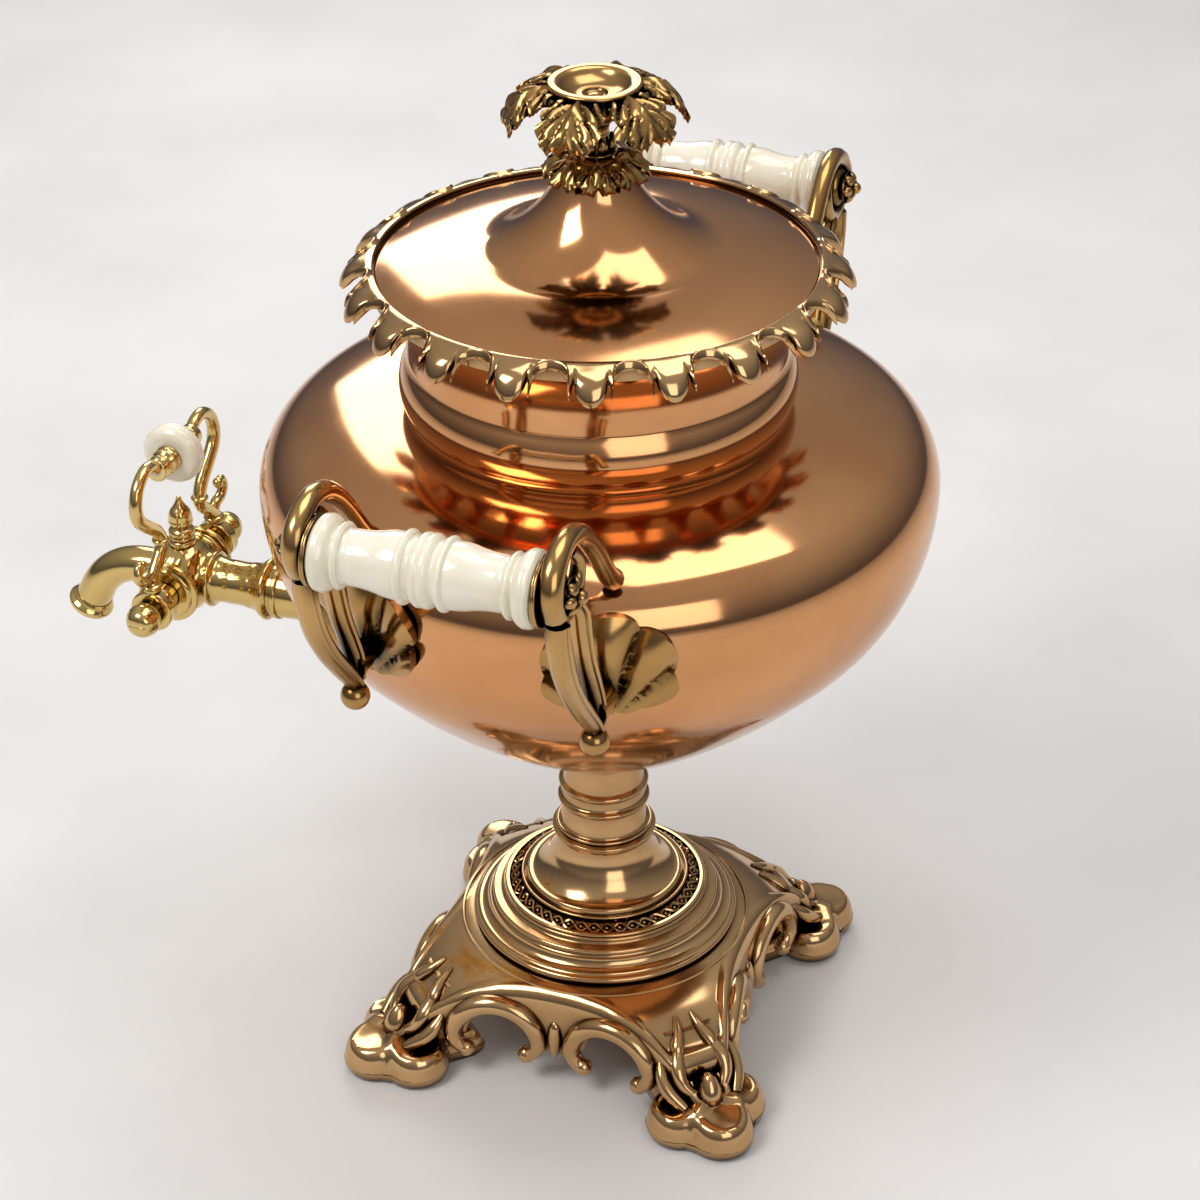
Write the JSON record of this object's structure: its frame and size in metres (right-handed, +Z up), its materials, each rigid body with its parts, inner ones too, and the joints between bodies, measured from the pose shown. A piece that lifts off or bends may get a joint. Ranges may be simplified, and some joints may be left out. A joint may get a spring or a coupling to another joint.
{
  "type": "samovar",
  "caption": "Copper samovar on a stemmed brass base with lobed feet, opal glass grips in scrolled brackets, a lift-off lid with a leafy finial and a lever tap",
  "frame": {"origin": "on the urn's vertical axis, in the plane of the four foot pads' undersides", "axes": "+Z up along the urn's axis; the tap points along -Y (the front); the handles stand at +X (right) and -X (left)"},
  "size_m": [0.3506, 0.3539, 0.3993],
  "materials": {
    "copper": "polished",
    "pale_brass": "polished",
    "dark_brass": "satin",
    "tap_brass": "polished",
    "opal_glass": "polished",
    "steel": "satin",
    "iron": "matte"
  },
  "bodies": {
    "urn": {"body_bowl": "copper", "body_shoulder": "copper", "neck": "copper", "rim_scalloped": "pale_brass", "base_plinth": "pale_brass", "pedestal": "pale_brass", "stem": "pale_brass", "foot_front_left": "pale_brass", "foot_front_right": "pale_brass", "foot_back_left": "pale_brass", "foot_back_right": "pale_brass", "foot_screws": "steel", "tie_bolt": "steel", "tie_washers": "steel", "tie_nut": "steel", "heater_tube": "pale_brass", "handle_right_grip": "opal_glass", "handle_right_rod": "steel", "handle_right_bolts": "steel", "handle_right_cups": "dark_brass", "handle_right_knots": "dark_brass", "handle_right_bracket_front": "dark_brass", "handle_right_bracket_back": "dark_brass", "handle_right_shell_front": "dark_brass", "handle_right_shell_back": "dark_brass", "handle_left_grip": "opal_glass", "handle_left_rod": "steel", "handle_left_bolts": "steel", "handle_left_cups": "dark_brass", "handle_left_knots": "dark_brass", "handle_left_bracket_front": "dark_brass", "handle_left_bracket_back": "dark_brass", "handle_left_shell_front": "dark_brass", "handle_left_shell_back": "dark_brass", "tap_body": "tap_brass", "tap_nozzle": "tap_brass", "tap_acorn": "tap_brass", "tap_glands": "tap_brass", "tap_boss": "tap_brass", "tap_locknut": "tap_brass"},
    "lid": {"lid_dome": "copper", "lid_ring": "copper", "finial_rosette": "dark_brass", "finial_stem": "dark_brass", "finial_flower": "dark_brass", "finial_stud": "steel", "finial_nut": "steel"},
    "lever": {"tap_plug": "tap_brass", "tap_end_screws": "tap_brass", "tap_arm_right": "tap_brass", "tap_arm_left": "tap_brass", "tap_spindle": "steel", "tap_bobbin": "opal_glass", "tap_ferrules": "tap_brass"},
    "iron": {"heater_iron": "iron"}
  },
  "joints": [
    {"name": "lid_lift", "type": "slide", "parent": "urn", "child": "lid", "axis": [0, 0, 1], "range_m": [0, 0.14]},
    {"name": "tap_turn", "type": "hinge", "parent": "urn", "child": "lever", "pos_m": [0, -0.176, 0.168], "axis": [1, 0, 0], "range_deg": [0, 90]},
    {"name": "heater_iron_lift", "type": "slide", "parent": "urn", "child": "iron", "axis": [0, 0, 1], "range_m": [0, 0.06]}
  ]
}
